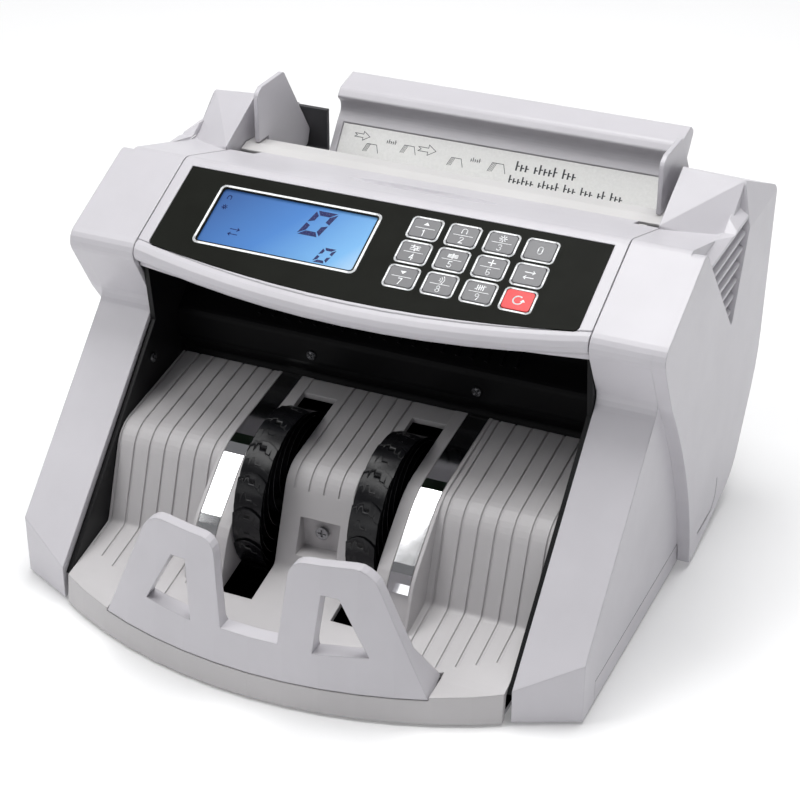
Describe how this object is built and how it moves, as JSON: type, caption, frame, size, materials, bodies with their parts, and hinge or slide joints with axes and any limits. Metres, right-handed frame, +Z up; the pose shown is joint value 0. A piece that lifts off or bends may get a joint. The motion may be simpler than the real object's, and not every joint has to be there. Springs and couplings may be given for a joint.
{
  "type": "banknote counting machine",
  "caption": "Desktop banknote counter: rear hopper feeds notes past rollers to a ribbed front stacker with bladed wheels, a lifting control head with display and keys.",
  "frame": {"origin": "centre of the footprint, on the surface that the feet stand on", "axes": "+Z up, the note stacker faces -Y, +X to the right seen from the front"},
  "size_m": [0.28, 0.302, 0.1786],
  "materials": {
    "case": "fine textured, light grey",
    "deck": "fine textured, warm grey",
    "key_grey": "satin",
    "key_red": "satin",
    "rubber": "matte",
    "bright_strip": "mirror",
    "black_steel": "black paint",
    "black_plastic": "semi-gloss",
    "dark_plastic": "fine textured",
    "pale_plastic": "smooth",
    "label_paper": "laminated",
    "overlay": "semi-gloss film",
    "display_glass": "backlit",
    "circuit_board": "lacquered",
    "laminated_steel": "varnished",
    "steel": "machined"
  },
  "bodies": {
    "machine": {"base_pan": "case", "deck_screw": "steel", "drive_belt": "rubber", "feed_housing": "black_plastic", "foot_front_left": "rubber", "foot_front_right": "rubber", "foot_rear_left": "rubber", "foot_rear_right": "rubber", "frame_plate_left": "black_steel", "frame_plate_right": "black_steel", "guide_rail": "steel", "hopper_back": "case", "hopper_label": "label_paper", "hopper_lip": "pale_plastic", "main_board": "circuit_board", "motor": "steel", "note_stop": "case", "pickup_belt": "rubber", "power_inlet": "black_plastic", "rear_panel": "dark_plastic", "side_cover_left": "case", "side_cover_right": "case", "slide_strip_left": "bright_strip", "slide_strip_right": "bright_strip", "stacker_belt": "rubber", "stacker_deck": "deck", "switch_frame": "black_plastic", "transformer": "laminated_steel"},
    "impellers": {"impeller_left": "rubber", "impeller_right": "rubber", "impeller_shaft": "steel", "impeller_pulley": "black_plastic"},
    "feed_drum": {"feed_shaft": "steel", "feed_pulley": "black_plastic", "feed_roller_left": "rubber", "feed_roller_right": "rubber"},
    "pickup_rollers": {"pickup_shaft": "steel", "pickup_pulley": "black_plastic", "pickup_roller_left": "rubber", "pickup_roller_right": "rubber"},
    "motor_rotor": {"motor_pulley": "steel"},
    "control_head": {"head_cover": "case", "panel_overlay": "overlay", "lcd_display": "display_glass", "keypad_board": "circuit_board"},
    "guide_right": {"guide_right": "case"},
    "guide_left": {"guide_left": "case"},
    "rocker": {"rocker_switch": "black_plastic"},
    "key_0": {"key_0": "key_grey"},
    "key_1": {"key_1": "key_grey"},
    "key_2": {"key_2": "key_grey"},
    "key_3": {"key_3": "key_grey"},
    "key_4": {"key_4": "key_grey"},
    "key_5": {"key_5": "key_grey"},
    "key_6": {"key_6": "key_grey"},
    "key_7": {"key_7": "key_grey"},
    "key_8": {"key_8": "key_grey"},
    "key_9": {"key_9": "key_grey"},
    "key_mode": {"key_mode": "key_grey"},
    "key_restart": {"key_restart": "key_red"}
  },
  "joints": [
    {"name": "head_hinge", "type": "hinge", "parent": "machine", "child": "control_head", "pos_m": [0, -0.044, 0.136], "axis": [1, 0, 0], "range_deg": [0, 35]},
    {"name": "guide_right_slide", "type": "slide", "parent": "machine", "child": "guide_right", "axis": [-1, 0, 0], "range_m": [0, 0.045]},
    {"name": "guide_left_slide", "type": "slide", "parent": "machine", "child": "guide_left", "axis": [1, 0, 0], "range_m": [0, 0.045]},
    {"name": "motor_spin", "type": "hinge", "parent": "machine", "child": "motor_rotor", "pos_m": [0, 0.007, 0.035], "axis": [1, 0, 0], "continuous": true},
    {"name": "impeller_spin", "type": "hinge", "parent": "machine", "child": "impellers", "pos_m": [0, -0.059, 0.043], "axis": [1, 0, 0], "continuous": true},
    {"name": "feed_spin", "type": "hinge", "parent": "machine", "child": "feed_drum", "pos_m": [0, 0.08, 0.062], "axis": [1, 0, 0], "continuous": true},
    {"name": "pickup_spin", "type": "hinge", "parent": "machine", "child": "pickup_rollers", "pos_m": [0, 0.0983, 0.0912], "axis": [1, 0, 0], "continuous": true},
    {"name": "power_rocker", "type": "hinge", "parent": "machine", "child": "rocker", "pos_m": [-0.092, 0.1103, 0.0755], "axis": [1, 0, 0], "range_deg": [-16, 0]},
    {"name": "key_0_press", "type": "slide", "parent": "control_head", "child": "key_0", "axis": [0, 0.425, -0.9052], "range_m": [0, 0.0008], "stiffness_N_per_m": 800, "springref_m": -0.0003},
    {"name": "key_1_press", "type": "slide", "parent": "control_head", "child": "key_1", "axis": [0, 0.425, -0.9052], "range_m": [0, 0.0008], "stiffness_N_per_m": 800, "springref_m": -0.0003},
    {"name": "key_2_press", "type": "slide", "parent": "control_head", "child": "key_2", "axis": [0, 0.425, -0.9052], "range_m": [0, 0.0008], "stiffness_N_per_m": 800, "springref_m": -0.0003},
    {"name": "key_3_press", "type": "slide", "parent": "control_head", "child": "key_3", "axis": [0, 0.425, -0.9052], "range_m": [0, 0.0008], "stiffness_N_per_m": 800, "springref_m": -0.0003},
    {"name": "key_4_press", "type": "slide", "parent": "control_head", "child": "key_4", "axis": [0, 0.425, -0.9052], "range_m": [0, 0.0008], "stiffness_N_per_m": 800, "springref_m": -0.0003},
    {"name": "key_5_press", "type": "slide", "parent": "control_head", "child": "key_5", "axis": [0, 0.425, -0.9052], "range_m": [0, 0.0008], "stiffness_N_per_m": 800, "springref_m": -0.0003},
    {"name": "key_6_press", "type": "slide", "parent": "control_head", "child": "key_6", "axis": [0, 0.425, -0.9052], "range_m": [0, 0.0008], "stiffness_N_per_m": 800, "springref_m": -0.0003},
    {"name": "key_7_press", "type": "slide", "parent": "control_head", "child": "key_7", "axis": [0, 0.425, -0.9052], "range_m": [0, 0.0008], "stiffness_N_per_m": 800, "springref_m": -0.0003},
    {"name": "key_8_press", "type": "slide", "parent": "control_head", "child": "key_8", "axis": [0, 0.425, -0.9052], "range_m": [0, 0.0008], "stiffness_N_per_m": 800, "springref_m": -0.0003},
    {"name": "key_9_press", "type": "slide", "parent": "control_head", "child": "key_9", "axis": [0, 0.425, -0.9052], "range_m": [0, 0.0008], "stiffness_N_per_m": 800, "springref_m": -0.0003},
    {"name": "key_mode_press", "type": "slide", "parent": "control_head", "child": "key_mode", "axis": [0, 0.425, -0.9052], "range_m": [0, 0.0008], "stiffness_N_per_m": 800, "springref_m": -0.0003},
    {"name": "key_restart_press", "type": "slide", "parent": "control_head", "child": "key_restart", "axis": [0, 0.425, -0.9052], "range_m": [0, 0.0008], "stiffness_N_per_m": 800, "springref_m": -0.0003}
  ],
  "couplings": [
    {"joint": "motor_spin", "follows": "feed_spin", "ratio": 1.5},
    {"joint": "impeller_spin", "follows": "feed_spin", "ratio": 0.85714},
    {"joint": "pickup_spin", "follows": "feed_spin", "ratio": 1}
  ]
}
